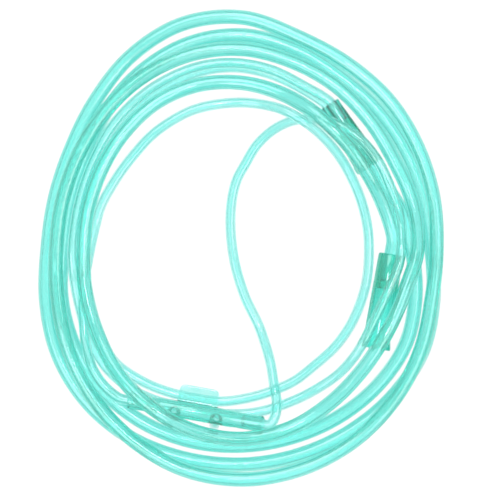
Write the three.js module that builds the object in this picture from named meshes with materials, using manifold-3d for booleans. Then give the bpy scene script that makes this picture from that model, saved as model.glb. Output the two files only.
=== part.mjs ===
// Nasal oxygen cannula, loosely coiled and lying flat. Millimetres, +Z up.
// The coil is centred on the origin in plan, and its lowest tubes lie on Z = 0. Clock angles are
// counted clockwise from +Y, seen from above.
import * as THREE from 'three';
import { mergeVertices } from 'three/addons/utils/BufferGeometryUtils.js';
import Module from 'manifold-3d';

// Tubing
const supplyDiameter = 5.5;
const supplySides = 10;
const supplyStep = 23.5;
const smallDiameter = 3.8;
const smallSides = 8;
const smallStep = 8.1;
const fitClearance = 0.3;
const socketOverrun = 0.5;
const turnedSides = 24;

// Nasal piece: a curved body with a socket at each end, a lip tab and two prongs
const bodyDiameter = 6.4;
const bodyHalfLength = 25.6;
const bodyBendRadius = 98;
const bodyMiddleHalfLength = 13.7;
const bodyLumenDiameter = 4.0;
const bodyStations = 5;
const socketDiameter = 6.0;
const socketBeadDiameter = 6.3;
const socketBeadLength = 1.9;
const smallSocketDepth = 8;
const tabWidth = 15;
const tabReach = 9.6;
const tabThickness = 1.1;
const tabCornerRadius = 2.2;
const tabSink = 0.6;
const prongSpacing = 16;
const prongLength = 10.9;
const prongRootDiameter = 4.9;
const prongTipDiameter = 3.7;
const prongBoreDiameter = 2.5;
const prongLean = 22;
const prongSides = 16;

// Y connector: two small sockets at one end, one supply socket at the other
const forkLength = 28;
const forkSupplyDiameter = 10.6;
const forkSupplySocketDepth = 11.6;
const forkSmallDiameter = 5.9;
const forkSmallSpacing = 4.15;
const forkSmallRoll = 29;
const forkLipLength = 3;
const forkPassageDiameter = 2.8;

// End connector: a socket for the supply tube and a flared mouth
const endLength = 35.9;
const endSocketDiameter = 9.5;
const endSocketDepth = 10.6;
const endNeckDiameter = 4.2;
const endNeckLength = 2.4;
const endThroatDiameter = 6.8;
const endBarrelDiameter = 10.1;
const endLipDiameter = 11.5;
const endLipLength = 5;
const endMouthDiameter = 8.9;
const endRimLength = 1.2;

// Places: the middle of the nasal piece, and the ends of both connectors
const noseMiddle = new THREE.Vector3(-17.6, -61.3, 12.0);
const noseHeading = -10.2;
const noseTilt = 2.4;
const forkSmallEnd = new THREE.Vector3(32.1, 53.9, 5.5);
const forkHeading = -56.7;
const endSocketMouth = new THREE.Vector3(55.5, -2.1, 5.9);
const endHeading = -99.9;
const centring = new THREE.Vector3(0.7, 0.21, 0);

// Coil of supply tubing: one row for each turn, with a radius and a height every 15 degrees of
// the clock, starting at 60 degrees
const stationStep = 15;
const firstStation = 60;
const coilTurns = [
  {
    radii: [
      56.6, 60.4, 63, 66.8, 70.5, 71.8, 72.4, 72.9, 73.7, 74.6, 75, 74.6,
      72.9, 70.3, 67.3, 67.1, 68.6, 72.4, 76.3, 79.3, 79.7, 77, 73.8, 72.2,
    ],
    heights: [
      5.2, 4, 2.75, 2.75, 2.75, 2.75, 2.75, 2.75, 2.75, 2.75, 2.75, 2.75,
      2.75, 2.75, 2.75, 2.75, 2.75, 2.75, 2.75, 2.75, 2.75, 2.75, 2.75, 2.75,
    ],
  },
  {
    radii: [
      70.9, 70.2, 70.5, 73.7, 77.4, 78.7, 79.3, 80, 80.8, 81.5, 82.3, 81.9,
      79.8, 76.2, 73.1, 72.8, 74.3, 78.2, 83.4, 87, 86.4, 81.7, 79.3, 77.7,
    ],
    heights: [
      2.75, 2.75, 2.75, 2.75, 2.75, 2.75, 2.75, 2.75, 2.75, 2.75, 2.75, 2.75,
      2.75, 2.75, 2.75, 2.75, 2.75, 2.75, 2.75, 3.4, 5, 7.3, 8.7, 8.7,
    ],
  },
  {
    radii: [
      75.5, 73.7, 72.4, 73.1, 76.6, 80, 83.1, 85.3, 86.4, 85.6, 82.7, 79.3,
      75.5, 71.8, 69.9, 69.9, 70.9, 72.7, 74.4, 75.2, 74.6, 72.3, 70, 67.3,
    ],
    heights: [
      8.7, 8.7, 8.7, 8.7, 8.7, 8.7, 8.7, 8.7, 8.7, 8.7, 8.7, 8.7,
      8.7, 8.7, 8.7, 8.7, 8.7, 8.7, 8.7, 8.7, 8.7, 8.7, 8.7, 8.7,
    ],
  },
  {
    radii: [
      65.4, 65.7, 65.3, 62.6, 62.3, 63.6, 66.2, 69.4, 71.2, 70.7, 68.6, 66.1,
      63, 61, 59.5, 59.8, 60.7, 62.2, 63.5, 63.4, 61.9, 59.5, 57, 55.2,
    ],
    heights: [
      8.7, 8.8, 10.6, 13.3, 15.1, 14.7, 12.3, 12.2, 14, 17.2, 18.2, 15.7,
      12.3, 11.4, 10.7, 10.1, 9.7, 8.6, 6.3, 5.2, 6.7, 10.8, 16.7, 17.2,
    ],
  },
];
const leadIn = [
  { clock: 60, radius: 54.4, height: 14.8 },
  { clock: 72, radius: 54.9, height: 9.8 },
  { clock: 82, radius: 56, height: 6.8 },
  { clock: 87, radius: 56.4, height: 6.0 },
];

// Small tube from the right end of the nasal piece: up through the ring, over the Y connector,
// once round the coil, and into the upper small socket
const rightRoute = [
  [10.2, -65.7, 6.8], [12.0, -62.8, 6.5], [12.6, -57.5, 6.4], [11.6, -51.1, 6.2],
  [10.2, -42.4, 3.5], [6.2, -29.6, 2], [0.4, -17.1, 2], [-3.6, -2.6, 2],
  [-4.6, 13.3, 2], [-2.6, 24.9, 2], [1.1, 32, 2], [5.2, 38.7, 2],
  [11.2, 44.3, 2.2], [17.6, 47.5, 3], [23.6, 48.6, 4.2], [28.8, 48.4, 8.4],
  [32.9, 47.5, 12], [37, 45.6, 13.2], [41.5, 42.8, 13.4], [46, 38.7, 13.3],
  [50.5, 32.7, 12.7], [54, 25.6, 11.2], [57.6, 16.5, 10.3], [59.1, 9.4, 11],
  [59.2, 2.1, 12.4], [58.5, -5.1, 12.6], [55.3, -13.8, 13.1], [51.5, -21.8, 13.3],
  [47.7, -29.8, 13], [44.5, -36, 12.4], [41.1, -41.1, 10.2], [36.3, -46.4, 6.5],
  [29.6, -51.3, 3.2], [18.5, -57.1, 2], [4.3, -61.4, 2], [-11, -61.6, 2],
  [-21.9, -59.4, 2], [-32.8, -56.8, 2], [-43.3, -51.6, 2], [-52, -43.6, 2],
  [-57.7, -33.3, 2], [-61, -22.2, 2.4], [-62.8, -13.3, 3.9], [-63.6, -6.7, 6],
  [-63.9, 0, 6.7], [-61.6, 16.5, 6.7], [-56.2, 32.4, 6.7], [-47.5, 47.5, 6.6],
  [-34.4, 59.7, 6.5], [-18.1, 67.6, 6.3], [-3.7, 69.4, 6.3], [10.5, 66.8, 6.5],
  [23.2, 60.5, 7],
];

// Small tube from the left end of the nasal piece: up with the coil, once round on its inside,
// up with the coil again, and into the lower small socket
const leftRoute = [
  [-46, -56.1, 8.9], [-50.2, -53.1, 8.6], [-54.2, -48.5, 8.4], [-57.2, -42.8, 8.1],
  [-58.7, -36.1, 7.4], [-59.5, -28.6, 6.8], [-59.8, -21.1, 6.6], [-59.5, -13.7, 6.5],
  [-58.3, -6.2, 5.8], [-57, 0.6, 4.3], [-55.4, 7.7, 2.3], [-53.1, 15.9, 2],
  [-49.2, 23.2, 2], [-44.6, 30.2, 2], [-39.9, 36.1, 2], [-34.5, 42, 2],
  [-27.9, 47, 2], [-19.4, 51.5, 2], [-11.1, 53.7, 2], [-1.1, 54.6, 2],
  [7.1, 53.9, 3.6], [14.6, 52, 7.2], [20.2, 49.2, 8.8], [25.8, 45.4, 8.7],
  [31.4, 40.2, 6.5], [36.7, 33.5, 4], [41.1, 25.6, 2.2], [44.5, 17, 2],
  [46.6, 7.7, 2], [47.1, -1.3, 2], [46.4, -11, 2], [43.9, -20.4, 2],
  [40, -29, 2], [34.4, -36.8, 2], [26.9, -43.6, 2], [19.1, -49.6, 2],
  [10.8, -53.3, 2], [1.9, -55.9, 2], [-7.9, -57.2, 2], [-16.1, -56.3, 2],
  [-28.4, -53.5, 2], [-38.5, -49.2, 2], [-48.3, -42, 2], [-53.9, -31.1, 2],
  [-56.9, -20.7, 2], [-58.9, -10.4, 2], [-60.7, 0, 2], [-58.9, 15.8, 2],
  [-53.9, 31.1, 2], [-45.5, 45.5, 2], [-33.3, 57.7, 2], [-17.6, 65.6, 2],
  [-3.5, 67.7, 2], [10.3, 65.1, 2.2], [22.7, 59.2, 3.1],
];

const wasm = await Module();
wasm.setup();

// Boolean joins and cuts
function toSolid(geometry) {
  const bare = geometry.clone();
  bare.deleteAttribute('normal');
  bare.deleteAttribute('uv');
  const merged = mergeVertices(bare, 1e-4);
  return new wasm.Manifold(
    new wasm.Mesh({
      numProp: 3,
      vertProperties: Float32Array.from(merged.attributes.position.array),
      triVerts: Uint32Array.from(merged.index.array),
    }),
  );
}

function toGeometry(solid) {
  const mesh = solid.getMesh();
  const geometry = new THREE.BufferGeometry();
  geometry.setAttribute('position', new THREE.BufferAttribute(Float32Array.from(mesh.vertProperties), 3));
  geometry.setIndex(new THREE.BufferAttribute(Uint32Array.from(mesh.triVerts), 1));
  geometry.computeVertexNormals();
  return geometry;
}

function joined(geometries) {
  return geometries.map(toSolid).reduce((whole, next) => whole.add(next));
}

function cut(solid, geometries) {
  return geometries.map(toSolid).reduce((rest, next) => rest.subtract(next), solid);
}

// A solid of revolution about +X, from [place along the axis, radius] pairs
function turned(outline, sides = turnedSides) {
  const geometry = new THREE.LatheGeometry(
    outline.map(([along, radius]) => new THREE.Vector2(radius, along)),
    sides,
  );
  return geometry.rotateZ(-Math.PI / 2);
}

function rod(from, to, startDiameter, endDiameter = startDiameter, sides = turnedSides) {
  return turned([[from, 0], [from, startDiameter / 2], [to, endDiameter / 2], [to, 0]], sides);
}

// Turns a geometry that lies along +X to a compass heading in plan, and moves it to its place
function laid(geometry, heading, place) {
  return geometry.rotateZ(THREE.MathUtils.degToRad(heading)).translate(place.x, place.y, place.z);
}

function headingVector(heading) {
  const angle = THREE.MathUtils.degToRad(heading);
  return new THREE.Vector3(Math.cos(angle), Math.sin(angle), 0);
}

// Bends a geometry along +X down into an arc about the Y axis
function bent(geometry, bendRadius) {
  const position = geometry.attributes.position;
  for (let index = 0; index < position.count; index += 1) {
    const angle = position.getX(index) / bendRadius;
    const reach = bendRadius + position.getZ(index);
    position.setX(index, reach * Math.sin(angle));
    position.setZ(index, reach * Math.cos(angle) - bendRadius);
  }
  return geometry;
}

function inNoseFrame(geometry) {
  geometry.rotateY(THREE.MathUtils.degToRad(noseTilt));
  return laid(geometry, noseHeading, noseMiddle);
}

function stations(from, to, count) {
  return Array.from({ length: count + 1 }, (_, index) => from + ((to - from) * index) / count);
}

// Nasal piece
function noseBody() {
  const middle = stations(-bodyMiddleHalfLength, bodyMiddleHalfLength, bodyStations);
  const beadStart = bodyHalfLength - socketBeadLength;
  return bent(
    turned([
      [-bodyHalfLength, 0],
      [-bodyHalfLength, socketBeadDiameter / 2],
      [-beadStart, socketBeadDiameter / 2],
      [-beadStart, socketDiameter / 2],
      [-bodyMiddleHalfLength - 1, socketDiameter / 2],
      ...middle.map((along) => [along, bodyDiameter / 2]),
      [bodyMiddleHalfLength + 1, socketDiameter / 2],
      [beadStart, socketDiameter / 2],
      [beadStart, socketBeadDiameter / 2],
      [bodyHalfLength, socketBeadDiameter / 2],
      [bodyHalfLength, 0],
    ]),
    bodyBendRadius,
  );
}

function noseLumen() {
  const socketBore = smallDiameter / 2 + fitClearance;
  const socketFloor = bodyHalfLength - smallSocketDepth;
  const past = bodyHalfLength + 1;
  return bent(
    turned([
      [-past, 0],
      [-past, socketBore],
      [-socketFloor, socketBore],
      [-socketFloor, bodyLumenDiameter / 2],
      ...stations(-bodyMiddleHalfLength, bodyMiddleHalfLength, bodyStations).map((along) => [
        along,
        bodyLumenDiameter / 2,
      ]),
      [socketFloor, bodyLumenDiameter / 2],
      [socketFloor, socketBore],
      [past, socketBore],
      [past, 0],
    ]),
    bodyBendRadius,
  );
}

function tab() {
  const half = tabWidth / 2;
  const corner = tabCornerRadius;
  const outline = new THREE.Shape();
  outline.moveTo(-half, bodyLumenDiameter / 2 + tabSink);
  outline.lineTo(half, bodyLumenDiameter / 2 + tabSink);
  outline.lineTo(half, tabReach - corner);
  outline.absarc(half - corner, tabReach - corner, corner, 0, Math.PI / 2);
  outline.lineTo(-half + corner, tabReach);
  outline.absarc(-half + corner, tabReach - corner, corner, Math.PI / 2, Math.PI);
  const plate = new THREE.ExtrudeGeometry(outline, {
    depth: tabThickness,
    bevelEnabled: false,
    curveSegments: 5,
  });
  return plate.translate(0, 0, -tabThickness / 2);
}

// A prong hangs from the body, leans away from the tab, and is open at its tip
function placeProng(geometry, side) {
  geometry.rotateY(Math.PI / 2);
  geometry.rotateX(-THREE.MathUtils.degToRad(prongLean));
  return geometry.translate((side * prongSpacing) / 2, 0, 0);
}

function nasalPiece() {
  const sides = [-1, 1];
  const tipEdge = 0.5;
  const prongs = sides.map((side) =>
    placeProng(
      turned(
        [
          [0, 0],
          [0, prongRootDiameter / 2],
          [bodyDiameter / 2, prongRootDiameter / 2],
          [prongLength - tipEdge, prongTipDiameter / 2],
          [prongLength, prongTipDiameter / 2 - tipEdge / 2],
          [prongLength, 0],
        ],
        prongSides,
      ),
      side,
    ),
  );
  const bores = sides.map((side) =>
    placeProng(rod(-0.5, prongLength + 1, prongBoreDiameter, prongBoreDiameter, prongSides), side),
  );
  const shell = joined([noseBody(), ...prongs]);
  const hollow = cut(shell, [noseLumen(), ...bores]);
  return inNoseFrame(toGeometry(hollow.add(toSolid(tab()))));
}

// The places where the two small tubes leave the nasal piece, and the way they point there
function noseEnd(side) {
  const end = new THREE.Vector3(side * bodyHalfLength, 0, 0);
  const inside = new THREE.Vector3(side * (bodyHalfLength - smallSocketDepth + fitClearance), 0, 0);
  const frame = new THREE.BufferGeometry().setFromPoints([end, inside]);
  inNoseFrame(bent(frame, bodyBendRadius));
  return [0, 1].map((index) => new THREE.Vector3().fromBufferAttribute(frame.attributes.position, index));
}

// Y connector
function forkSmallOffset(side) {
  const roll = THREE.MathUtils.degToRad(forkSmallRoll);
  const half = (side * forkSmallSpacing) / 2;
  return new THREE.Vector3(0, half * Math.sin(roll), half * Math.cos(roll));
}

function forkLeg(side) {
  const offset = forkSmallOffset(side);
  const leg = rod(0, forkLength, forkSmallDiameter, forkSupplyDiameter);
  const position = leg.attributes.position;
  for (let index = 0; index < position.count; index += 1) {
    const share = 1 - position.getX(index) / forkLength;
    position.setY(index, position.getY(index) + offset.y * share);
    position.setZ(index, position.getZ(index) + offset.z * share);
  }
  return leg;
}

function yConnector() {
  const supplyBore = supplyDiameter + 2 * fitClearance;
  const smallBore = smallDiameter + 2 * fitClearance;
  const supplyFloor = forkLength - forkSupplySocketDepth;
  const body = joined([
    forkLeg(-1),
    forkLeg(1),
    rod(forkLength - forkLipLength, forkLength, forkSupplyDiameter + 0.3),
  ]);
  const smallBores = [-1, 1].map((side) => {
    const offset = forkSmallOffset(side);
    return rod(-1, smallSocketDepth, smallBore).translate(0, offset.y, offset.z);
  });
  const passages = [-1, 1].map((side) => {
    const offset = forkSmallOffset(side).multiplyScalar(0.5);
    return rod(smallSocketDepth - 1, supplyFloor + 1, forkPassageDiameter).translate(0, offset.y, offset.z);
  });
  const bores = [rod(supplyFloor, forkLength + 1, supplyBore), ...smallBores, ...passages];
  return laid(toGeometry(cut(body, bores)), forkHeading, forkSmallEnd);
}

// End connector, turned about its own axis, with its profile closed on itself
function endConnector() {
  const bore = supplyDiameter / 2 + fitClearance;
  const lipStart = endLength - endLipLength;
  const outline = [
    [0, bore],
    [0, endSocketDiameter / 2 - 0.4],
    [0.5, endSocketDiameter / 2],
    [endSocketDepth, endSocketDiameter / 2],
    [lipStart, endBarrelDiameter / 2],
    [endLength - endRimLength, endLipDiameter / 2],
    [endLength, endLipDiameter / 2],
    [endLength, endMouthDiameter / 2],
    [endSocketDepth + endNeckLength, endThroatDiameter / 2],
    [endSocketDepth + endNeckLength, endNeckDiameter / 2],
    [endSocketDepth, endNeckDiameter / 2],
    [endSocketDepth, bore],
    [0, bore],
  ];
  return laid(turned(outline), endHeading, endSocketMouth);
}

// Tubes: a tube follows its route between two sockets, and reaches straight into each of them
class RoutePart extends THREE.Curve {
  constructor(route, from, to) {
    super();
    this.route = route;
    this.from = from;
    this.to = to;
  }

  getPoint(share, target) {
    return this.route.getPoint(this.from + (this.to - this.from) * share, target);
  }
}

function socketEnd(inside, mouth, diameter, sides) {
  const axis = mouth.clone().sub(inside);
  const end = rod(0, axis.length() + socketOverrun, diameter, diameter, sides);
  const turn = new THREE.Quaternion().setFromUnitVectors(new THREE.Vector3(1, 0, 0), axis.normalize());
  return end.applyQuaternion(turn).translate(inside.x, inside.y, inside.z);
}

function tubeAlong(points, diameter, sides, step) {
  const section = new THREE.Shape(
    Array.from({ length: sides }, (_, index) => {
      const angle = ((index + 0.5) * 2 * Math.PI) / sides;
      return new THREE.Vector2(Math.cos(angle), Math.sin(angle)).multiplyScalar(diameter / 2);
    }),
  );
  const last = points.length - 1;
  const route = new RoutePart(new THREE.CatmullRomCurve3(points), 1 / last, 1 - 1 / last);
  route.arcLengthDivisions = 2000;
  const steps = Math.round(route.getLength() / step);
  const run = new THREE.ExtrudeGeometry(section, { steps, extrudePath: route, bevelEnabled: false });
  const solid = joined([
    run,
    socketEnd(points[0], points[1], diameter, sides),
    socketEnd(points[last], points[last - 1], diameter, sides),
  ]);
  return toGeometry(solid);
}

function clockPoint(clock, radius, height) {
  const angle = THREE.MathUtils.degToRad(clock);
  return new THREE.Vector3(radius * Math.sin(angle), radius * Math.cos(angle), height);
}

function coilPoints() {
  const points = [];
  for (const turn of coilTurns) {
    turn.radii.forEach((radius, station) => {
      const clock = firstStation + station * stationStep;
      points.push(clockPoint(clock, radius, turn.heights[station]));
    });
  }
  return points;
}

function supplyTube() {
  const fork = headingVector(forkHeading);
  const supplyEnd = forkSmallEnd.clone().addScaledVector(fork, forkLength);
  const forkInside = supplyEnd.clone().addScaledVector(fork, fitClearance - forkSupplySocketDepth);
  const endInside = endSocketMouth
    .clone()
    .addScaledVector(headingVector(endHeading), endSocketDepth - fitClearance);
  const [, ...coil] = coilPoints();
  return tubeAlong(
    [
      forkInside,
      supplyEnd,
      ...coil,
      ...leadIn.map(({ clock, radius, height }) => clockPoint(clock, radius, height)),
      endSocketMouth,
      endInside,
    ],
    supplyDiameter,
    supplySides,
    supplyStep,
  );
}

function smallTube(noseSide, forkSide, route) {
  const [noseMouth, noseInside] = noseEnd(noseSide);
  const fork = headingVector(forkHeading);
  const turn = THREE.MathUtils.degToRad(forkHeading);
  const forkMouth = forkSmallEnd
    .clone()
    .add(forkSmallOffset(forkSide).applyAxisAngle(new THREE.Vector3(0, 0, 1), turn));
  const forkInside = forkMouth.clone().addScaledVector(fork, smallSocketDepth - fitClearance);
  const points = route.map((point) => new THREE.Vector3(...point));
  return tubeAlong(
    [noseInside, noseMouth, ...points, forkMouth, forkInside],
    smallDiameter,
    smallSides,
    smallStep,
  );
}

// Materials
function clearPlastic(color, opacity, roughness) {
  return new THREE.MeshStandardMaterial({ color, roughness, metalness: 0, transparent: true, opacity });
}

const tubing = clearPlastic(0xa8f0e2, 0.7, 0.25);
const moulding = clearPlastic(0x5fdccb, 0.8, 0.3);
const funnel = clearPlastic(0x12c4b2, 0.9, 0.35);

function part(name, geometry, material) {
  const mesh = new THREE.Mesh(geometry.translate(...centring.toArray()), material);
  mesh.name = name;
  return mesh;
}

const cannula = new THREE.Group();
cannula.add(
  part('nasal_piece', nasalPiece(), moulding),
  part('small_tube_right', smallTube(1, 1, rightRoute), tubing),
  part('small_tube_left', smallTube(-1, -1, leftRoute), tubing),
  part('y_connector', yConnector(), moulding),
  part('supply_tube', supplyTube(), tubing),
  part('end_connector', endConnector(), funnel),
);

export default cannula;
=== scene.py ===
# %% [markdown]
# A nasal oxygen cannula, loosely coiled
#
# The object is soft clear vinyl with a green tint: a nasal piece with two prongs and a lip tab, two
# thin tubes that run from it to a Y connector, and a supply tube that goes four times round and
# ends in a flared connector. We see it from straight above, lying on a white table.

# %% Load the frame
import math

import bmesh
import bpy
import numpy as np
from mathutils import Matrix, Vector


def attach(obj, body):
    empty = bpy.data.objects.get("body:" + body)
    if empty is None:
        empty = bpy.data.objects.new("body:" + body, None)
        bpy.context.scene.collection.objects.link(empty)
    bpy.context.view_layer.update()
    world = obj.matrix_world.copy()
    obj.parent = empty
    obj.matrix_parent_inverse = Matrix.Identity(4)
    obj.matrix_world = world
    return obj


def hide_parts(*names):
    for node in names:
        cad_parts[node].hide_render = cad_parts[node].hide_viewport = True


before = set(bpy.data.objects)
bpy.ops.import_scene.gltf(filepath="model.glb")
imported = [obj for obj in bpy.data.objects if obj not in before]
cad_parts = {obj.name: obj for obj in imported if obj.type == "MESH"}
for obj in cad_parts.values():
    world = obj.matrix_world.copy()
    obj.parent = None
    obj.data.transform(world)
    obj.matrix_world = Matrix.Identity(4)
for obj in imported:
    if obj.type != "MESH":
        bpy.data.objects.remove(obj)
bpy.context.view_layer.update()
print("CAD nodes:", sorted(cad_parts))

# %% [markdown]
# The camera
#
# The photograph looks straight down, and near and far turns of the coil are equally thick in it, so
# an orthographic camera suits it better than a lens. Its width in metres is the picture's 500 pixels
# times the size of one pixel on the table.

# %% Make the camera
METRES_PER_PIXEL = 0.000374
PICTURE_WIDTH = 500
CAMERA_HEIGHT = 0.6
CENTRING = Vector((0.7, 0.21, 0))  # millimetres, brings the coil's middle to the origin
PICTURE_MIDDLE = (2.62, -0.56)

camera_data = bpy.data.cameras.new("camera")
camera_data.type = "ORTHO"
camera_data.ortho_scale = METRES_PER_PIXEL * PICTURE_WIDTH
camera = bpy.data.objects.new("camera", camera_data)
camera.location = (
    (PICTURE_MIDDLE[0] + CENTRING.x) / 1000,
    (PICTURE_MIDDLE[1] + CENTRING.y) / 1000,
    CAMERA_HEIGHT,
)
bpy.context.scene.collection.objects.link(camera)
bpy.context.scene.camera = camera
print("the camera sees", round(camera_data.ortho_scale, 3), "m")

# %% [markdown]
# Where things lie
#
# The routes of the three tubes are lists of points in millimetres, with the height of the tube's
# middle above the table. The supply tube is easiest to give as a clock: one radius and one height
# every 15 degrees, turn by turn. The two connectors and the nasal piece are given by one place and
# one compass heading each.

# %% Give the sizes and the places
SUPPLY_DIAMETER = 5.5
SMALL_DIAMETER = 3.8
FIT_CLEARANCE = 0.3

BODY_HALF_LENGTH = 25.6
BODY_BEND_RADIUS = 98
SMALL_SOCKET_DEPTH = 8
NOSE_MIDDLE = Vector((-17.6, -61.3, 12.0))
NOSE_HEADING = -10.2
NOSE_TILT = 2.4

FORK_LENGTH = 28
FORK_SUPPLY_DIAMETER = 10.6
FORK_SUPPLY_SOCKET_DEPTH = 11.6
FORK_SMALL_DIAMETER = 5.9
FORK_SMALL_SPACING = 4.15
FORK_SMALL_ROLL = 29
FORK_LIP_LENGTH = 3
FORK_SMALL_END = Vector((32.1, 53.9, 5.5))
FORK_HEADING = -56.7

END_SOCKET_DEPTH = 10.6
END_SOCKET_MOUTH = Vector((55.5, -2.1, 5.9))
END_HEADING = -99.9

STATION_STEP = 15
FIRST_STATION = 60
COIL_TURNS = [
    {
        "radii": [
            56.6, 60.4, 63, 66.8, 70.5, 71.8, 72.4, 72.9, 73.7, 74.6, 75, 74.6,
            72.9, 70.3, 67.3, 67.1, 68.6, 72.4, 76.3, 79.3, 79.7, 77, 73.8, 72.2,
        ],
        "heights": [
            5.2, 4, 2.75, 2.75, 2.75, 2.75, 2.75, 2.75, 2.75, 2.75, 2.75, 2.75,
            2.75, 2.75, 2.75, 2.75, 2.75, 2.75, 2.75, 2.75, 2.75, 2.75, 2.75, 2.75,
        ],
    },
    {
        "radii": [
            70.9, 70.2, 70.5, 73.7, 77.4, 78.7, 79.3, 80, 80.8, 81.5, 82.3, 81.9,
            79.8, 76.2, 73.1, 72.8, 74.3, 78.2, 83.4, 87, 86.4, 81.7, 79.3, 77.7,
        ],
        "heights": [
            2.75, 2.75, 2.75, 2.75, 2.75, 2.75, 2.75, 2.75, 2.75, 2.75, 2.75, 2.75,
            2.75, 2.75, 2.75, 2.75, 2.75, 2.75, 2.75, 3.4, 5, 7.3, 8.7, 8.7,
        ],
    },
    {
        "radii": [
            75.5, 73.7, 72.4, 73.1, 76.6, 80, 83.1, 85.3, 86.4, 85.6, 82.7, 79.3,
            75.5, 71.8, 69.9, 69.9, 70.9, 72.7, 74.4, 75.2, 74.6, 72.3, 70, 67.3,
        ],
        "heights": [
            8.7, 8.7, 8.7, 8.7, 8.7, 8.7, 8.7, 8.7, 8.7, 8.7, 8.7, 8.7,
            8.7, 8.7, 8.7, 8.7, 8.7, 8.7, 8.7, 8.7, 8.7, 8.7, 8.7, 8.7,
        ],
    },
    {
        "radii": [
            65.4, 65.7, 65.3, 62.6, 62.3, 63.6, 66.2, 69.4, 71.2, 70.7, 68.6, 66.1,
            63, 61, 59.5, 59.8, 60.7, 62.2, 63.5, 63.4, 61.9, 59.5, 57, 55.2,
        ],
        "heights": [
            8.7, 8.8, 10.6, 13.3, 15.1, 14.7, 12.3, 12.2, 14, 17.2, 18.2, 15.7,
            12.3, 11.4, 10.7, 10.1, 9.7, 8.6, 6.3, 5.2, 6.7, 10.8, 16.7, 17.2,
        ],
    },
]
LEAD_IN = [(60, 54.4, 14.8), (72, 54.9, 9.8), (82, 56, 6.8), (87, 56.4, 6.0)]

RIGHT_ROUTE = [
    (10.2, -65.7, 6.8), (12.0, -62.8, 6.5), (12.6, -57.5, 6.4), (11.6, -51.1, 6.2),
    (10.2, -42.4, 3.5), (6.2, -29.6, 2), (0.4, -17.1, 2), (-3.6, -2.6, 2),
    (-4.6, 13.3, 2), (-2.6, 24.9, 2), (1.1, 32, 2), (5.2, 38.7, 2),
    (11.2, 44.3, 2.2), (17.6, 47.5, 3), (23.6, 48.6, 4.2), (28.8, 48.4, 8.4),
    (32.9, 47.5, 12), (37, 45.6, 13.2), (41.5, 42.8, 13.4), (46, 38.7, 13.3),
    (50.5, 32.7, 12.7), (54, 25.6, 11.2), (57.6, 16.5, 10.3), (59.1, 9.4, 11),
    (59.2, 2.1, 12.4), (58.5, -5.1, 12.6), (55.3, -13.8, 13.1), (51.5, -21.8, 13.3),
    (47.7, -29.8, 13), (44.5, -36, 12.4), (41.1, -41.1, 10.2), (36.3, -46.4, 6.5),
    (29.6, -51.3, 3.2), (18.5, -57.1, 2), (4.3, -61.4, 2), (-11, -61.6, 2),
    (-21.9, -59.4, 2), (-32.8, -56.8, 2), (-43.3, -51.6, 2), (-52, -43.6, 2),
    (-57.7, -33.3, 2), (-61, -22.2, 2.4), (-62.8, -13.3, 3.9), (-63.6, -6.7, 6),
    (-63.9, 0, 6.7), (-61.6, 16.5, 6.7), (-56.2, 32.4, 6.7), (-47.5, 47.5, 6.6),
    (-34.4, 59.7, 6.5), (-18.1, 67.6, 6.3), (-3.7, 69.4, 6.3), (10.5, 66.8, 6.5),
    (23.2, 60.5, 7),
]
LEFT_ROUTE = [
    (-46, -56.1, 8.9), (-50.2, -53.1, 8.6), (-54.2, -48.5, 8.4), (-57.2, -42.8, 8.1),
    (-58.7, -36.1, 7.4), (-59.5, -28.6, 6.8), (-59.8, -21.1, 6.6), (-59.5, -13.7, 6.5),
    (-58.3, -6.2, 5.8), (-57, 0.6, 4.3), (-55.4, 7.7, 2.3), (-53.1, 15.9, 2),
    (-49.2, 23.2, 2), (-44.6, 30.2, 2), (-39.9, 36.1, 2), (-34.5, 42, 2),
    (-27.9, 47, 2), (-19.4, 51.5, 2), (-11.1, 53.7, 2), (-1.1, 54.6, 2),
    (7.1, 53.9, 3.6), (14.6, 52, 7.2), (20.2, 49.2, 8.8), (25.8, 45.4, 8.7),
    (31.4, 40.2, 6.5), (36.7, 33.5, 4), (41.1, 25.6, 2.2), (44.5, 17, 2),
    (46.6, 7.7, 2), (47.1, -1.3, 2), (46.4, -11, 2), (43.9, -20.4, 2),
    (40, -29, 2), (34.4, -36.8, 2), (26.9, -43.6, 2), (19.1, -49.6, 2),
    (10.8, -53.3, 2), (1.9, -55.9, 2), (-7.9, -57.2, 2), (-16.1, -56.3, 2),
    (-28.4, -53.5, 2), (-38.5, -49.2, 2), (-48.3, -42, 2), (-53.9, -31.1, 2),
    (-56.9, -20.7, 2), (-58.9, -10.4, 2), (-60.7, 0, 2), (-58.9, 15.8, 2),
    (-53.9, 31.1, 2), (-45.5, 45.5, 2), (-33.3, 57.7, 2), (-17.6, 65.6, 2),
    (-3.5, 67.7, 2), (10.3, 65.1, 2.2), (22.7, 59.2, 3.1),
]
print("stations on the coil:", sum(len(turn["radii"]) for turn in COIL_TURNS))

# %% [markdown]
# From a list of points to a smooth route
#
# A Catmull-Rom curve passes through every point it is given. The centripetal kind spaces its
# parameter by the root of the distance, which keeps it from swinging out where two points lie
# close together. Afterwards the curve is read again at even steps, so that the rings of the tube
# are evenly spaced.

# %% Smooth a route and space it evenly
SAMPLES_BETWEEN_POINTS = 24


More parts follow.
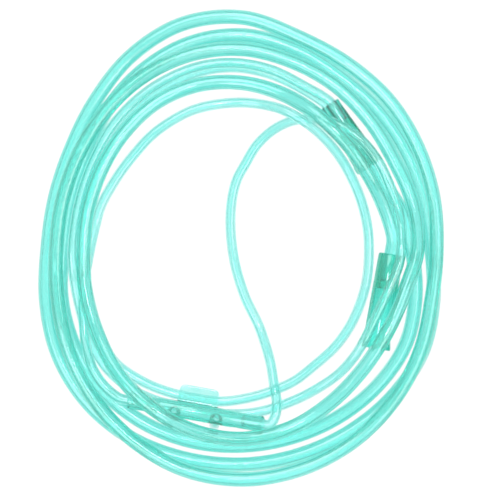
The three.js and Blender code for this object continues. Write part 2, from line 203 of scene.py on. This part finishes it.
def catmull_rom(points):
    known = [np.array(point, float) for point in points]
    known = [2 * known[0] - known[1]] + known + [2 * known[-1] - known[-2]]
    share = np.linspace(0, 1, SAMPLES_BETWEEN_POINTS, endpoint=False)[:, None]
    curve = []
    for before, start, end, after in zip(known, known[1:], known[2:], known[3:]):
        gaps = [
            math.sqrt(np.linalg.norm(b - a))
            for a, b in ((before, start), (start, end), (end, after))
        ]
        leave = (start - before) / gaps[0] - (end - before) / (gaps[0] + gaps[1])
        leave = (leave + (end - start) / gaps[1]) * gaps[1]
        arrive = (end - start) / gaps[1] - (after - start) / (gaps[1] + gaps[2])
        arrive = (arrive + (after - end) / gaps[2]) * gaps[1]
        curve.append(
            start
            + leave * share
            + (3 * (end - start) - 2 * leave - arrive) * share**2
            + (2 * (start - end) + leave + arrive) * share**3
        )
    return np.vstack(curve + [known[-2][None, :]])


def lengths_along(line):
    return np.concatenate([[0], np.cumsum(np.linalg.norm(np.diff(line, axis=0), axis=1))])


def evenly_spaced(line, step):
    along = lengths_along(line)
    places = np.linspace(0, along[-1], max(2, round(along[-1] / step) + 1))
    return np.stack([np.interp(places, along, line[:, axis]) for axis in range(3)], axis=1)


# %% Find the ends of the tubes
def heading_vector(heading):
    return Vector((math.cos(math.radians(heading)), math.sin(math.radians(heading)), 0))


def in_nose_frame(point):
    """From the nasal piece's own axes, before it is bent, to its place in the coil."""
    angle = point[0] / BODY_BEND_RADIUS
    reach = BODY_BEND_RADIUS + point[2]
    bent = Vector((reach * math.sin(angle), point[1], reach * math.cos(angle) - BODY_BEND_RADIUS))
    return place_nose(bent)


def place_nose(point):
    tilted = Matrix.Rotation(math.radians(NOSE_TILT), 3, "Y") @ Vector(point)
    return Matrix.Rotation(math.radians(NOSE_HEADING), 3, "Z") @ tilted + NOSE_MIDDLE


def fork_offset(side):
    roll = math.radians(FORK_SMALL_ROLL)
    half = side * FORK_SMALL_SPACING / 2
    return Vector((0, half * math.sin(roll), half * math.cos(roll)))


def small_tube_line(nose_side, fork_side, route):
    mouth = in_nose_frame((nose_side * BODY_HALF_LENGTH, 0, 0))
    depth = BODY_HALF_LENGTH - SMALL_SOCKET_DEPTH + FIT_CLEARANCE
    inside = in_nose_frame((nose_side * depth, 0, 0))
    turn = Matrix.Rotation(math.radians(FORK_HEADING), 3, "Z")
    fork_mouth = FORK_SMALL_END + turn @ fork_offset(fork_side)
    fork_inside = fork_mouth + heading_vector(FORK_HEADING) * (SMALL_SOCKET_DEPTH - FIT_CLEARANCE)
    return [inside, mouth, *route, fork_mouth, fork_inside]


def clock_point(clock, radius, height):
    angle = math.radians(clock)
    return (radius * math.sin(angle), radius * math.cos(angle), height)


def supply_tube_line():
    fork = heading_vector(FORK_HEADING)
    leaves = FORK_SMALL_END + fork * FORK_LENGTH
    inside = leaves + fork * (FIT_CLEARANCE - FORK_SUPPLY_SOCKET_DEPTH)
    far_inside = END_SOCKET_MOUTH + heading_vector(END_HEADING) * (END_SOCKET_DEPTH - FIT_CLEARANCE)
    stations = []
    for turn in COIL_TURNS:
        for radius, height in zip(turn["radii"], turn["heights"]):
            clock = FIRST_STATION + STATION_STEP * len(stations)
            stations.append(clock_point(clock, radius, height))
    lead_in = [clock_point(*row) for row in LEAD_IN]
    return [inside, leaves, *stations[1:], *lead_in, END_SOCKET_MOUTH, far_inside]


def centreline(points, step):
    """The tube's middle: straight inside both sockets, and a smooth curve between them."""
    curve = catmull_rom(points)[SAMPLES_BETWEEN_POINTS:-SAMPLES_BETWEEN_POINTS]
    line = np.vstack([np.array(points[0], float)[None, :], curve, np.array(points[-1], float)[None, :]])
    return evenly_spaced(line, step) + np.array(CENTRING)


SUPPLY_STEP = 2.0
SMALL_STEP = 1.4
supply_line = centreline(supply_tube_line(), SUPPLY_STEP)
right_line = centreline(small_tube_line(1, 1, RIGHT_ROUTE), SMALL_STEP)
left_line = centreline(small_tube_line(-1, -1, LEFT_ROUTE), SMALL_STEP)
for name, line in (("supply", supply_line), ("right", right_line), ("left", left_line)):
    print(name, "tube:", round(lengths_along(line)[-1]), "mm")

# %% [markdown]
# Hollow tubes
#
# A curve with a bevel would give a tube in one line, but only its outer skin. Clear tubing gets
# most of its look from the bore: light bends at the inner wall too, and the two walls together
# give the fine lines along it. So each tube is a mesh with an outer ring and an inner ring at
# every step. The bore of the supply tube has five soft ribs, which keep it open when it is
# stepped on, and the ribs show as fainter lines.

# %% Build a tube with a bore
OUTER_SIDES = 24
BORE_SIDES = 30
SUPPLY_BORE = 3.5
SUPPLY_RIBS = 5
SUPPLY_RIB_HEIGHT = 0.28
SMALL_BORE = 2.4


def ring_frames(line):
    """Two directions across the line at every point, kept level with the table."""
    along = np.gradient(line, axis=0)
    along /= np.linalg.norm(along, axis=1)[:, None]
    across = np.cross(along, (0, 0, 1))
    across /= np.linalg.norm(across, axis=1)[:, None]
    return across, np.cross(across, along)


def rings(line, radii):
    across, over = ring_frames(line)
    angles = np.arange(len(radii)) * 2 * math.pi / len(radii)
    offset_across = (np.cos(angles) * radii)[None, :, None] * across[:, None, :]
    offset_over = (np.sin(angles) * radii)[None, :, None] * over[:, None, :]
    return (line[:, None, :] + offset_across + offset_over).reshape(-1, 3)


def ring_faces(count, sides, start, inward):
    faces = []
    for station in range(count - 1):
        for side in range(sides):
            corners = [
                start + station * sides + side,
                start + station * sides + (side + 1) % sides,
                start + (station + 1) * sides + (side + 1) % sides,
                start + (station + 1) * sides + side,
            ]
            faces.append(corners if inward else corners[::-1])
    return faces


def object_from(name, vertices, faces):
    mesh = bpy.data.meshes.new(name)
    mesh.from_pydata([tuple(vertex) for vertex in vertices], [], faces)
    mesh.update()
    piece = bpy.data.objects.new(name, mesh)
    bpy.context.scene.collection.objects.link(piece)
    return piece


END_REACH = 0.01  # metres: wider than a tube, and short of its other end


def close_ends(piece):
    """Joins the outer and the inner ring at each end of a tube, and turns all faces out."""
    work = bmesh.new()
    work.from_mesh(piece.data)
    work.verts.ensure_lookup_table()
    start = work.verts[0].co.copy()
    open_edges = [edge for edge in work.edges if edge.is_boundary]
    at_start = [edge for edge in open_edges if (edge.verts[0].co - start).length < END_REACH]
    bmesh.ops.bridge_loops(work, edges=at_start)
    open_edges = [edge for edge in work.edges if edge.is_boundary]
    bmesh.ops.bridge_loops(work, edges=open_edges)
    bmesh.ops.recalc_face_normals(work, faces=work.faces)
    for face in work.faces:
        face.smooth = True
    work.to_mesh(piece.data)
    work.free()


STRAIGHT = "straight_place"


def remember_straight(piece, along, radii_of_both):
    """Stores for every point where it would be if the tube lay straight along +X."""
    straight = []
    for radii in radii_of_both:
        angles = np.arange(len(radii)) * 2 * math.pi / len(radii)
        ring = np.stack([0 * angles, np.cos(angles) * radii, np.sin(angles) * radii], axis=1)
        shift = np.stack([along, 0 * along, 0 * along], axis=1)
        straight.append((shift[:, None, :] + ring[None, :, :]).reshape(-1, 3))
    layer = piece.data.attributes.new(STRAIGHT, "FLOAT_VECTOR", "POINT")
    layer.data.foreach_set("vector", np.vstack(straight).ravel())


def hollow_tube(name, line, diameter, bore, ribs=0, rib_height=0.0):
    metres = line / 1000
    outer = np.full(OUTER_SIDES, diameter / 2000)
    angles = np.arange(BORE_SIDES) * 2 * math.pi / BORE_SIDES
    inner = (bore - rib_height * (1 - np.cos(ribs * angles))) / 2000
    vertices = np.vstack([rings(metres, outer), rings(metres, inner)])
    faces = ring_faces(len(line), OUTER_SIDES, 0, False)
    faces += ring_faces(len(line), BORE_SIDES, len(line) * OUTER_SIDES, True)
    piece = object_from(name, vertices, faces)
    remember_straight(piece, lengths_along(metres), (outer, inner))
    close_ends(piece)
    return piece


supply_tube = hollow_tube(
    "clear_supply_tube", supply_line, SUPPLY_DIAMETER, SUPPLY_BORE, SUPPLY_RIBS, SUPPLY_RIB_HEIGHT
)
right_tube = hollow_tube("clear_right_tube", right_line, SMALL_DIAMETER, SMALL_BORE)
left_tube = hollow_tube("clear_left_tube", left_line, SMALL_DIAMETER, SMALL_BORE)
for tube in (supply_tube, right_tube, left_tube):
    print(tube.name, len(tube.data.polygons), "faces")

# %% [markdown]
# Moulded pieces
#
# The nasal piece and the Y connector are one moulding each, with soft fillets where their limbs
# meet. The limbs are made as plain closed solids that run into each other, a voxel remesh melts
# them into one skin, and a few rounds of smoothing turn the creases into fillets. The bores are
# cut afterwards, so that they stay crisp.

# %% Helpers for turned and melted shapes
TURNED_SEGMENTS = 48


def turned(outline, segments=TURNED_SEGMENTS):
    """Vertices and faces of a solid turned about +X, from (place along the axis, radius) rows."""
    vertices, faces, rows = [], [], []
    for along, radius in outline:
        if radius == 0:
            rows.append([len(vertices)])
            vertices.append((along, 0, 0))
            continue
        rows.append(list(range(len(vertices), len(vertices) + segments)))
        for segment in range(segments):
            angle = 2 * math.pi * segment / segments
            vertices.append((along, radius * math.cos(angle), radius * math.sin(angle)))
    for here, there in zip(rows, rows[1:]):
        for segment in range(segments):
            corners = [
                here[segment % len(here)],
                here[(segment + 1) % len(here)],
                there[(segment + 1) % len(there)],
                there[segment % len(there)],
            ]
            faces.append(list(dict.fromkeys(corners)))
    return vertices, faces


def placed(shape, move):
    vertices, faces = shape
    return [move(Vector(vertex)) for vertex in vertices], faces


def gathered(name, shapes):
    """One object of several closed shapes, in metres."""
    vertices, faces = [], []
    for shape_vertices, shape_faces in shapes:
        start = len(vertices)
        vertices += [(Vector(v) + CENTRING) / 1000 for v in shape_vertices]
        faces += [[start + corner for corner in face] for face in shape_faces]
    piece = object_from(name, vertices, faces)
    work = bmesh.new()
    work.from_mesh(piece.data)
    bmesh.ops.recalc_face_normals(work, faces=work.faces)
    work.to_mesh(piece.data)
    work.free()
    return piece


def apply_modifiers(piece):
    bpy.context.view_layer.update()
    graph = bpy.context.evaluated_depsgraph_get()
    baked = bpy.data.meshes.new_from_object(piece.evaluated_get(graph))
    piece.modifiers.clear()
    piece.data = baked


def melted(piece, voxel, rounds):
    remesh = piece.modifiers.new("melt", "REMESH")
    remesh.mode = "VOXEL"
    remesh.voxel_size = voxel / 1000
    smooth = piece.modifiers.new("soften", "SMOOTH")
    smooth.factor = 0.5
    smooth.iterations = rounds
    apply_modifiers(piece)


def bored(piece, tool):
    cut = piece.modifiers.new("bore", "BOOLEAN")
    cut.operation = "DIFFERENCE"
    cut.object = tool
    cut.solver = "EXACT"
    cut.use_self = True
    apply_modifiers(piece)
    bpy.data.objects.remove(tool)
    piece.data.polygons.foreach_set("use_smooth", [True] * len(piece.data.polygons))


def spread(low, high, count):
    return [low + (high - low) * index / count for index in range(count + 1)]


# %% [markdown]
# The nasal piece
#
# Its body is a short tube that bends down at both ends and ends in a socket with a bead. A lip
# tab stands out on one side. Two tapered prongs hang from it, lean away from the tab and are
# open at their tips.

# %% Make the nasal piece
BODY_DIAMETER = 6.4
SOCKET_DIAMETER = 6.0
BEAD_DIAMETER = 6.3
BEAD_LENGTH = 1.9
BODY_MIDDLE = 13.7
BODY_TAPER = 1.2
BODY_LUMEN = 4.0
BEAD_EDGE = 0.3
BEAD_DROP = 0.2
SOCKET_SLACK = 0.06
TAB_WIDTH = 15
TAB_START = 1.5
TAB_REACH = 9.6
TAB_THICKNESS = 1.1
TAB_CORNER = 2.2
TAB_LAYERS = ((-0.5, 0.12), (-0.28, 0), (0.28, 0), (0.5, 0.12))  # share of thickness, rim inset
PRONG_SPACING = 16
PRONG_LENGTH = 10.9
PRONG_ROOT = 4.9
PRONG_TIP = 3.7
PRONG_BORE = 2.5
PRONG_LEAN = 22
NOSE_VOXEL = 0.2
NOSE_ROUNDS = 5


def nose_body():
    bead = BODY_HALF_LENGTH - BEAD_LENGTH
    high = BEAD_DIAMETER / 2
    taper = BODY_MIDDLE + BODY_TAPER
    outline = [(-BODY_HALF_LENGTH, 0), (-BODY_HALF_LENGTH, high - BEAD_DROP)]
    outline += [(-BODY_HALF_LENGTH + BEAD_EDGE, high), (-bead, high)]
    outline += [(x, SOCKET_DIAMETER / 2) for x in spread(-bead + BEAD_EDGE, -taper, 6)]
    outline += [(x, BODY_DIAMETER / 2) for x in spread(-BODY_MIDDLE, BODY_MIDDLE, 16)]
    outline += [(x, SOCKET_DIAMETER / 2) for x in spread(taper, bead - BEAD_EDGE, 6)]
    outline += [(bead, high), (BODY_HALF_LENGTH - BEAD_EDGE, high)]
    outline += [(BODY_HALF_LENGTH, high - BEAD_DROP), (BODY_HALF_LENGTH, 0)]
    return placed(turned(outline), in_nose_frame)


def nose_lumen():
    bore = SMALL_DIAMETER / 2 + SOCKET_SLACK
    floor = BODY_HALF_LENGTH - SMALL_SOCKET_DEPTH
    past = BODY_HALF_LENGTH + 1
    outline = [(-past, 0)] + [(x, bore) for x in spread(-past, -floor, 5)]
    outline += [(x, BODY_LUMEN / 2) for x in spread(-floor + 0.6, floor - 0.6, 16)]
    outline += [(x, bore) for x in spread(floor, past, 5)] + [(past, 0)]
    return placed(turned(outline), in_nose_frame)


def tab_plate():
    """A flat plate with two round corners and soft edges, before the body is melted to it."""
    half, corner = TAB_WIDTH / 2, TAB_CORNER
    arc = [math.radians(angle) for angle in range(0, 91, 15)]
    outline = [(-half, TAB_START), (half, TAB_START)]
    outline += [
        (half - corner + corner * math.cos(a), TAB_REACH - corner + corner * math.sin(a)) for a in arc
    ]
    outline += [
        (-half + corner - corner * math.sin(a), TAB_REACH - corner + corner * math.cos(a)) for a in arc
    ]
    count, top = len(outline), len(TAB_LAYERS) - 1
    centre = Vector((0, TAB_REACH / 2))
    vertices = []
    for height, inset in TAB_LAYERS:
        for x, y in outline:
            pull = (centre - Vector((x, y))).normalized() * inset
            vertices.append(Vector((x + pull.x, y + pull.y, height * TAB_THICKNESS)))
    faces = [list(range(count))[::-1], [top * count + i for i in range(count)]]
    for layer in range(top):
        for i in range(count):
            low, high = layer * count, (layer + 1) * count
            faces.append([low + i, low + (i + 1) % count, high + (i + 1) % count, high + i])
    return placed((vertices, faces), place_nose)


def prong_place(side):
    lean = Matrix.Rotation(-math.radians(PRONG_LEAN), 3, "X") @ Matrix.Rotation(math.pi / 2, 3, "Y")

    def move(point):
        return place_nose(lean @ point + Vector((side * PRONG_SPACING / 2, 0, 0)))

    return move


def prong(side):
    outline = [(0, 0), (0, PRONG_ROOT / 2), (BODY_DIAMETER / 2, PRONG_ROOT / 2)]
    outline += [(PRONG_LENGTH - 0.6, PRONG_TIP / 2), (PRONG_LENGTH - 0.15, PRONG_TIP / 2 - 0.25)]
    outline += [(PRONG_LENGTH, PRONG_TIP / 2 - 0.5), (PRONG_LENGTH, 0)]
    return placed(turned(outline), prong_place(side))


def prong_bore(side):
    radius = PRONG_BORE / 2
    outline = [(0, 0), (0, radius), (PRONG_LENGTH + 1, radius), (PRONG_LENGTH + 1, 0)]
    return placed(turned(outline), prong_place(side))


nasal_piece = gathered("clear_nasal_piece", [nose_body(), tab_plate(), prong(-1), prong(1)])
melted(nasal_piece, NOSE_VOXEL, NOSE_ROUNDS)
bored(nasal_piece, gathered("bore_tool", [nose_lumen(), prong_bore(-1), prong_bore(1)]))
print("nasal piece:", len(nasal_piece.data.polygons), "faces")

# %% [markdown]
# The Y connector
#
# Two small sockets lie side by side at one end, a little rolled, and merge into one barrel with
# a lip at the other end. Each limb is a cone whose small end is pushed sideways.

# %% Make the Y connector
FORK_VOXEL = 0.22
FORK_ROUNDS = 6
FORK_LIP_RISE = 0.3
FORK_PASSAGE = 2.8


def fork_place(point):
    turn = Matrix.Rotation(math.radians(FORK_HEADING), 3, "Z")
    return turn @ point + FORK_SMALL_END


def fork_leg(side):
    rows = [(0, 0)]
    for share in spread(0, 1, 12):
        width = FORK_SMALL_DIAMETER + (FORK_SUPPLY_DIAMETER - FORK_SMALL_DIAMETER) * share
        rows.append((share * FORK_LENGTH, width / 2))
    rows.append((FORK_LENGTH, 0))

    def move(point):
        return fork_place(point + fork_offset(side) * (1 - point.x / FORK_LENGTH))

    return placed(turned(rows), move)


def fork_lip():
    radius = (FORK_SUPPLY_DIAMETER + FORK_LIP_RISE) / 2
    start = FORK_LENGTH - FORK_LIP_LENGTH
    outline = [(start, 0), (start, radius - 0.15), (start + 0.3, radius)]
    outline += [(FORK_LENGTH - 0.3, radius), (FORK_LENGTH, radius - 0.3), (FORK_LENGTH, 0)]
    return placed(turned(outline), fork_place)


def fork_small_rim(side):
    radius = FORK_SMALL_DIAMETER / 2 + 0.15
    outline = [(0, 0), (0, radius - 0.2), (0.3, radius), (1.5, radius), (1.8, 0)]
    return placed(turned(outline), lambda point: fork_place(point + fork_offset(side)))


def fork_bores():
    supply = SUPPLY_DIAMETER / 2 + SOCKET_SLACK
    small = SMALL_DIAMETER / 2 + SOCKET_SLACK
    floor = FORK_LENGTH - FORK_SUPPLY_SOCKET_DEPTH
    rod = [(floor, 0), (floor, supply), (FORK_LENGTH + 1, supply), (FORK_LENGTH + 1, 0)]
    shapes = [placed(turned(rod), fork_place)]
    for side in (-1, 1):
        near, deep = fork_offset(side), fork_offset(side) * 0.5
        rod = [(-1, 0), (-1, small), (SMALL_SOCKET_DEPTH, small), (SMALL_SOCKET_DEPTH, 0)]
        shapes.append(placed(turned(rod), lambda point, shift=near: fork_place(point + shift)))
        half = FORK_PASSAGE / 2
        rod = [(SMALL_SOCKET_DEPTH - 1, 0), (SMALL_SOCKET_DEPTH - 1, half)]
        rod += [(floor + 1, half), (floor + 1, 0)]
        shapes.append(placed(turned(rod), lambda point, shift=deep: fork_place(point + shift)))
    return shapes


y_connector = gathered(
    "clear_y_connector", [fork_leg(-1), fork_leg(1), fork_lip(), fork_small_rim(-1), fork_small_rim(1)]
)
melted(y_connector, FORK_VOXEL, FORK_ROUNDS)
bored(y_connector, gathered("bore_tool", fork_bores()))
print("Y connector:", len(y_connector.data.polygons), "faces")

# %% [markdown]
# The end connector
#
# It is round all over, so it is turned: a socket for the supply tube, a neck, and a mouth that
# widens to a lip and slips over the nipple of an oxygen outlet. The profile goes out along the
# outside and back along the bore.

# %% Make the end connector
END_OUTLINE = [
    (0.35, 2.83), (0, 3.1), (0, 4.2), (0.25, 4.55), (0.7, 4.75), (10.6, 4.78), (11.4, 4.82),
    (30.2, 5.04), (31.2, 5.1), (33.6, 5.5), (34.7, 5.72), (35.5, 5.75), (35.8, 5.6),
    (35.9, 5.3), (35.9, 4.75), (35.7, 4.5), (35.2, 4.4), (24, 3.9), (13.6, 3.44), (13.1, 3.2),
    (13, 2.3), (12.8, 2.1), (10.9, 2.1), (10.65, 2.3), (10.6, 2.83), (0.35, 2.83),
]


def end_place(point):
    return Matrix.Rotation(math.radians(END_HEADING), 3, "Z") @ point + END_SOCKET_MOUTH


end_connector = gathered("clear_end_connector", [placed(turned(END_OUTLINE, 64), end_place)])
work = bmesh.new()
work.from_mesh(end_connector.data)
bmesh.ops.remove_doubles(work, verts=work.verts, dist=0.000002)
bmesh.ops.recalc_face_normals(work, faces=work.faces)
for face in work.faces:
    face.smooth = True
work.to_mesh(end_connector.data)
work.free()
print("end connector:", len(end_connector.data.polygons), "faces")

# %% [markdown]
# Clear vinyl
#
# Soft clear vinyl lets light through and swallows a little red on the way, so thick walls and
# crossing tubes look greener. A glass-like surface with an absorbing inside does most of that.
# Three choices are for likeness and aren't physical. The surface has a green skin of its own and
# a small milky share. It bends light less than real soft vinyl does, which is near 1.53. And the
# glossy coat is on the outer side of each wall only. Drawn tubing also has faint streaks and dull
# patches, which one shared node group gives to the colour, the roughness and the bump.

# %% Make the surface group
def socket(group, name, kind, default=None, output=False):
    made = group.interface.new_socket(
        name=name, in_out="OUTPUT" if output else "INPUT", socket_type=kind
    )
    if default is not None:
        made.default_value = default
    return made


def noise(nodes, links, place, scale, detail):
    made = nodes.new("ShaderNodeTexNoise")
    made.inputs["Detail"].default_value = detail
    links.new(place, made.inputs["Vector"])
    links.new(scale, made.inputs["Scale"])
    return made.outputs["Fac"]


NOISE_LOW = 0.35
NOISE_HIGH = 0.65


def stretched(nodes, links, value):
    """Turns a noise's middle values into the whole way from 0 to 1, or to given ends."""
    made = nodes.new("ShaderNodeMapRange")
    made.inputs["From Min"].default_value = NOISE_LOW
    made.inputs["From Max"].default_value = NOISE_HIGH
    links.new(value, made.inputs["Value"])
    return made


def vinyl_surface_group():
    group = bpy.data.node_groups.new("vinyl_surface", "ShaderNodeTree")
    socket(group, "Place", "NodeSocketVector")
    socket(group, "Patch Scale", "NodeSocketFloat", 60.0)
    socket(group, "Streak Scale", "NodeSocketFloat", 900.0)
    socket(group, "Low Roughness", "NodeSocketFloat", 0.05)
    socket(group, "High Roughness", "NodeSocketFloat", 0.15)
    socket(group, "Pale Color", "NodeSocketColor", (1, 1, 1, 1))
    socket(group, "Deep Color", "NodeSocketColor", (1, 1, 1, 1))
    socket(group, "Color", "NodeSocketColor", output=True)
    socket(group, "Roughness", "NodeSocketFloat", output=True)
    socket(group, "Height", "NodeSocketFloat", output=True)
    nodes, links = group.nodes, group.links
    given = nodes.new("NodeGroupInput").outputs
    result = nodes.new("NodeGroupOutput").inputs
    patches = noise(nodes, links, given["Place"], given["Patch Scale"], 3)
    streaks = noise(nodes, links, given["Place"], given["Streak Scale"], 2)
    dullness = stretched(nodes, links, patches)
    links.new(given["Low Roughness"], dullness.inputs["To Min"])
    links.new(given["High Roughness"], dullness.inputs["To Max"])
    links.new(dullness.outputs["Result"], result["Roughness"])
    depth = stretched(nodes, links, streaks)
    tint = nodes.new("ShaderNodeMix")
    tint.data_type = "RGBA"
    links.new(depth.outputs["Result"], tint.inputs["Factor"])
    links.new(given["Pale Color"], tint.inputs["A"])
    links.new(given["Deep Color"], tint.inputs["B"])
    links.new(tint.outputs["Result"], result["Color"])
    links.new(streaks, result["Height"])
    return group


surface_group = vinyl_surface_group()
print("surface group:", [item.name for item in surface_group.interface.items_tree])


# %% Make the clear vinyls
TINT = (0.0, 0.85, 0.77, 1)  # what a long way through the vinyl lets by
CLEARNESS = 0.92
COAT_ROUGHNESS = 0.06
COAT_BENDING = 1.5
RELIEF_DEPTH = 0.0001


def clear_vinyl(name, bending, pale, deep, density, patch_scale, streak_scale, dullness, bump, place):
    material = bpy.data.materials.new(name)
    material.use_nodes = True
    nodes, links = material.node_tree.nodes, material.node_tree.links
    shader = nodes["Principled BSDF"]
    shader.inputs["IOR"].default_value = bending
    shader.inputs["Transmission Weight"].default_value = CLEARNESS
    side = nodes.new("ShaderNodeNewGeometry")
    outside = nodes.new("ShaderNodeMath")
    outside.operation = "SUBTRACT"
    outside.inputs[0].default_value = 1
    links.new(side.outputs["Backfacing"], outside.inputs[1])
    links.new(outside.outputs["Value"], shader.inputs["Coat Weight"])
    shader.inputs["Coat Roughness"].default_value = COAT_ROUGHNESS
    shader.inputs["Coat IOR"].default_value = COAT_BENDING
    group = nodes.new("ShaderNodeGroup")
    group.node_tree = surface_group
    group.inputs["Patch Scale"].default_value = patch_scale
    group.inputs["Streak Scale"].default_value = streak_scale
    group.inputs["Low Roughness"].default_value = dullness[0]
    group.inputs["High Roughness"].default_value = dullness[1]
    group.inputs["Pale Color"].default_value = pale
    group.inputs["Deep Color"].default_value = deep
    links.new(place(nodes, links), group.inputs["Place"])
    links.new(group.outputs["Color"], shader.inputs["Base Color"])
    links.new(group.outputs["Roughness"], shader.inputs["Roughness"])
    relief = nodes.new("ShaderNodeBump")
    relief.inputs["Strength"].default_value = bump
    relief.inputs["Distance"].default_value = RELIEF_DEPTH
    links.new(group.outputs["Height"], relief.inputs["Height"])
    links.new(relief.outputs["Normal"], shader.inputs["Normal"])
    inside = nodes.new("ShaderNodeVolumeAbsorption")
    inside.inputs["Color"].default_value = TINT
    inside.inputs["Density"].default_value = density
    links.new(inside.outputs["Volume"], nodes["Material Output"].inputs["Volume"])
    return material


LENGTHWISE_SQUEEZE = 0.02


def drawn_place(nodes, links):
    """The place on the straight tube, squeezed along its length so that noise becomes long lines."""
    straight = nodes.new("ShaderNodeAttribute")
    straight.attribute_name = STRAIGHT
    squeeze = nodes.new("ShaderNodeVectorMath")
    squeeze.operation = "MULTIPLY"
    squeeze.inputs[1].default_value = (LENGTHWISE_SQUEEZE, 1, 1)
    links.new(straight.outputs["Vector"], squeeze.inputs[0])
    return squeeze.outputs["Vector"]


def moulded_place(nodes, links):
    return nodes.new("ShaderNodeTexCoord").outputs["Object"]


TUBE_BENDING = 1.17
MOULDED_BENDING = 1.2
PALE_SKIN = (0.8, 0.97, 0.955, 1)
DEEP_SKIN = (0.44, 0.935, 0.905, 1)
MOULDED_PALE = (0.7, 0.97, 0.95, 1)
MOULDED_DEEP = (0.6, 0.955, 0.93, 1)
FUNNEL_PALE = (0.42, 0.94, 0.9, 1)
FUNNEL_DEEP = (0.32, 0.93, 0.875, 1)
small_vinyl = clear_vinyl(
    "clear_vinyl_thin_tube", TUBE_BENDING, PALE_SKIN, DEEP_SKIN,
    density=240, patch_scale=120, streak_scale=1500, dullness=(0.08, 0.2), bump=0.3, place=drawn_place,
)
supply_vinyl = clear_vinyl(
    "clear_vinyl_supply_tube", TUBE_BENDING, PALE_SKIN, DEEP_SKIN,
    density=370, patch_scale=90, streak_scale=1300, dullness=(0.08, 0.2), bump=0.3, place=drawn_place,
)
moulded_vinyl = clear_vinyl(
    "clear_vinyl_moulded", MOULDED_BENDING, MOULDED_PALE, MOULDED_DEEP,
    density=480, patch_scale=140, streak_scale=260, dullness=(0.06, 0.16), bump=0.12, place=moulded_place,
)
funnel_vinyl = clear_vinyl(
    "green_vinyl_funnel", MOULDED_BENDING, FUNNEL_PALE, FUNNEL_DEEP,
    density=700, patch_scale=140, streak_scale=260, dullness=(0.06, 0.16), bump=0.12, place=moulded_place,
)
print("clear vinyls made")

# %% [markdown]
# Fixing it to the frame
#
# The whole cannula is one body, so every piece rides on the root. The tubes are free tubes of a
# real length, and each stands for its own CAD solid.

# %% Attach the pieces
PIECES = (
    (supply_tube, "supply_tube", "supply_tubing", supply_vinyl),
    (right_tube, "small_tube_right", "small_tubing", small_vinyl),
    (left_tube, "small_tube_left", "small_tubing", small_vinyl),
    (nasal_piece, "nasal_piece", "moulding", moulded_vinyl),
    (y_connector, "y_connector", "moulding", moulded_vinyl),
    (end_connector, "end_connector", "funnel", funnel_vinyl),
)
for piece, node, slot_name, material in PIECES:
    piece.data.materials.clear()
    piece.data.materials.append(material)
    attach(piece, "root")
    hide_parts(node)


print("pieces attached:", len(PIECES))

# %% [markdown]
# Light and table
#
# The photograph is shadowless, so no lamp here casts a shadow. Three far wide lamps light the matt
# white table, and a narrow one almost overhead draws the bright streak along the tubes. A lamp
# from below stands for the light that a white table throws back through them. The white room is
# bright where the vinyl reflects or bends it, and dim as a light on matt surfaces. Light focused
# through the tubes is left out, because the lamps reach the table as if nothing lay on it.

# %% Make the table, the lamps and the world
TABLE_SIZE = 3.0
TABLE_LEVEL = -0.0001

table_top = object_from(
    "table",
    [(x * TABLE_SIZE, y * TABLE_SIZE, TABLE_LEVEL) for x, y in ((-1, -1), (1, -1), (1, 1), (-1, 1))],
    [[0, 1, 2, 3]],
)
table_white = bpy.data.materials.new("table_white")
table_white.use_nodes = True
table_shader = table_white.node_tree.nodes["Principled BSDF"]
table_shader.inputs["Base Color"].default_value = (0.92, 0.92, 0.92, 1)
table_shader.inputs["Roughness"].default_value = 0.9
table_shader.inputs["Specular IOR Level"].default_value = 0.1
table_top.data.materials.append(table_white)

LAMP_STRENGTH = 1.2
LAMP_HEIGHT = 55
LAMP_WIDTH = 34
LAMP_HEADINGS = (100, 220, 340)
TOP_STRENGTH = 0.4
TOP_WIDTH = 9
TOP_HEIGHT = 83
TOP_HEADING = 60
BOUNCE_STRENGTH = 2.8
BOUNCE_WIDTH = 120


def soft_lamp(name, strength, width, towards):
    """A far lamp that casts no shadow; towards points from the object to the lamp."""
    lamp_data = bpy.data.lights.new(name, "SUN")
    lamp_data.energy = strength
    lamp_data.angle = math.radians(width)
    lamp_data.use_shadow = False
    lamp = bpy.data.objects.new(name, lamp_data)
    lamp.rotation_euler = (-towards).to_track_quat("-Z", "Y").to_euler()
    bpy.context.scene.collection.objects.link(lamp)


def lifted(heading, height):
    lift = math.radians(height)
    return heading_vector(heading) * math.cos(lift) + Vector((0, 0, math.sin(lift)))


for heading in LAMP_HEADINGS:
    soft_lamp(f"lamp_{heading}", LAMP_STRENGTH, LAMP_WIDTH, lifted(heading, LAMP_HEIGHT))
soft_lamp("lamp_top", TOP_STRENGTH, TOP_WIDTH, lifted(TOP_HEADING, TOP_HEIGHT))
soft_lamp("table_bounce", BOUNCE_STRENGTH, BOUNCE_WIDTH, Vector((0, 0, -1)))

WALLS_AS_SEEN = 0.95
WALLS_AS_LIGHT = 0.12
MOST_BOUNCES = 64
world =bpy.data.worlds.new("white_room")
world.use_nodes = True
walls = world.node_tree.nodes["Background"]
walls.inputs["Color"].default_value = (1, 1, 1, 1)
ray = world.node_tree.nodes.new("ShaderNodeLightPath")
brightness = world.node_tree.nodes.new("ShaderNodeMapRange")
brightness.inputs["To Min"].default_value = WALLS_AS_SEEN
brightness.inputs["To Max"].default_value = WALLS_AS_LIGHT
world.node_tree.links.new(ray.outputs["Is Diffuse Ray"], brightness.inputs["Value"])
world.node_tree.links.new(brightness.outputs["Result"], walls.inputs["Strength"])
bpy.context.scene.world = world
bpy.context.scene.view_settings.view_transform = "Standard"
bpy.context.scene.cycles.max_bounces = MOST_BOUNCES
bpy.context.scene.cycles.transmission_bounces = MOST_BOUNCES
bpy.context.scene.cycles.caustics_reflective = False
bpy.context.scene.cycles.caustics_refractive = False
print("lamps:", [lamp_data.name for lamp_data in bpy.data.lights])
